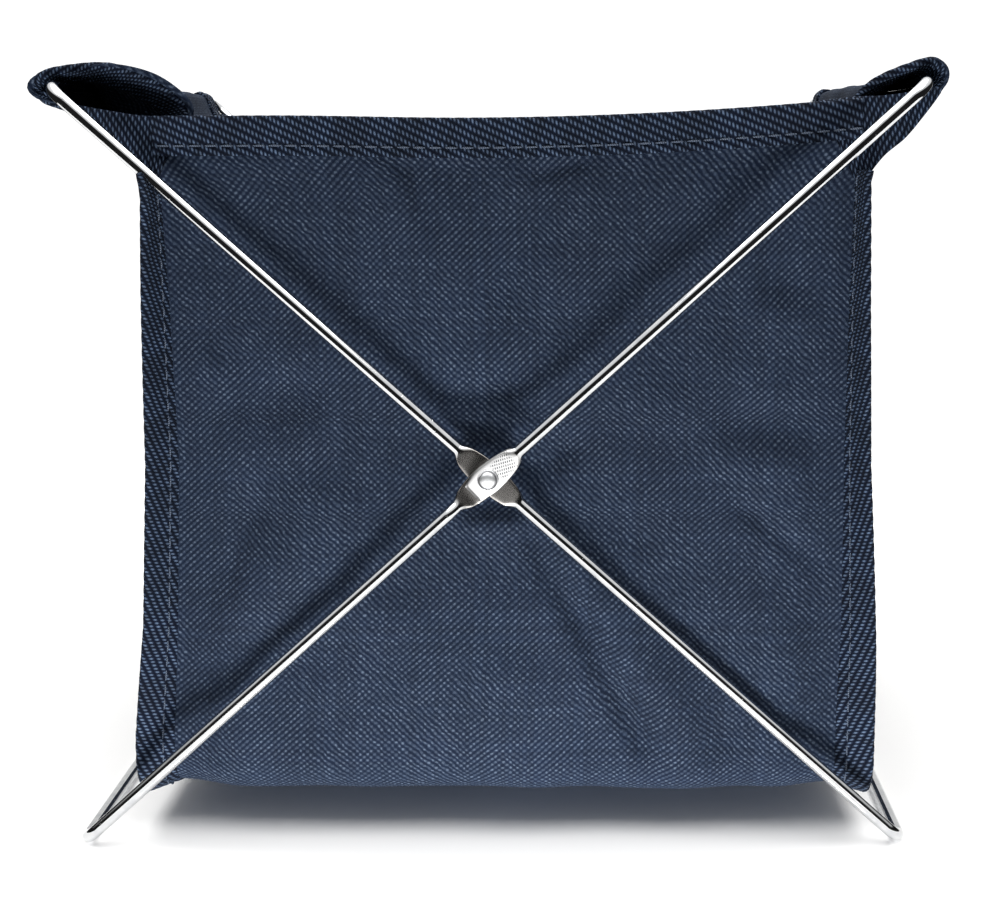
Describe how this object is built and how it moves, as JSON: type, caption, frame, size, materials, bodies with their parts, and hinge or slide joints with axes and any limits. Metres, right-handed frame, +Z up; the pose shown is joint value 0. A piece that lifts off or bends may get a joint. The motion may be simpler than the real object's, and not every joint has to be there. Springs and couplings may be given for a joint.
{
  "type": "fabric storage bin",
  "caption": "Collapsible open-top fabric storage bin: soft square bag with bound edges hung by sleeves on two wire loops riveted as an X, so the frame folds flat.",
  "frame": {"origin": "middle of the footprint, on the surface that the two bottom rails stand on", "axes": "+Z up, +X to the right across the X of the front legs, +Y towards the rear"},
  "size_m": [0.2336, 0.2092, 0.2132],
  "materials": {
    "wire": "bright chrome plate on steel wire",
    "rivet": "plated steel, slightly brushed by setting",
    "cloth": "navy plain-weave oxford polyester with a coated inside",
    "tape": "navy twill polypropylene binding tape"
  },
  "bodies": {
    "pivots": {"front_rivet": "rivet", "rear_rivet": "rivet"},
    "loop_a": {"wire_loop_a": "wire"},
    "loop_b": {"wire_loop_b": "wire"},
    "bag": {"body_panel": "cloth", "front_hem_tape": "tape", "rear_hem_tape": "tape"},
    "left_side": {"left_side_panel": "cloth", "left_seam_tape": "tape", "left_front_sleeve_tape": "tape", "left_rear_sleeve_tape": "tape"},
    "right_side": {"right_side_panel": "cloth", "right_seam_tape": "tape", "right_front_sleeve_tape": "tape", "right_rear_sleeve_tape": "tape"}
  },
  "joints": [
    {"name": "fold_a", "type": "hinge", "parent": "pivots", "child": "loop_a", "pos_m": [0, 0, 0.10375], "axis": [0, -1, 0], "range_deg": [0, 43.8], "deforming": ["body_panel", "front_hem_tape", "rear_hem_tape", "left_side_panel", "left_seam_tape", "left_front_sleeve_tape", "left_rear_sleeve_tape", "right_side_panel", "right_seam_tape", "right_front_sleeve_tape", "right_rear_sleeve_tape"]},
    {"name": "fold_b", "type": "hinge", "parent": "pivots", "child": "loop_b", "pos_m": [0, 0, 0.10375], "axis": [0, 1, 0], "range_deg": [0, 43.8]},
    {"name": "left_sleeve_turn", "type": "hinge", "parent": "loop_b", "child": "left_side", "pos_m": [-0.1125, 0, 0.20575], "axis": [0, -1, 0], "range_deg": [0, 43.8]},
    {"name": "right_sleeve_turn", "type": "hinge", "parent": "loop_a", "child": "right_side", "pos_m": [0.1125, 0, 0.20575], "axis": [0, 1, 0], "range_deg": [0, 43.8]},
    {"name": "bag_rise", "type": "slide", "parent": "pivots", "child": "bag", "axis": [0, 0, 1], "range_m": [0, 0.04949]}
  ],
  "couplings": [
    {"joint": "fold_b", "follows": "fold_a", "ratio": 1},
    {"joint": "left_sleeve_turn", "follows": "fold_a", "ratio": 1},
    {"joint": "right_sleeve_turn", "follows": "fold_a", "ratio": 1},
    {"joint": "bag_rise", "follows": "fold_a", "m_per_rad": 0.064732}
  ]
}
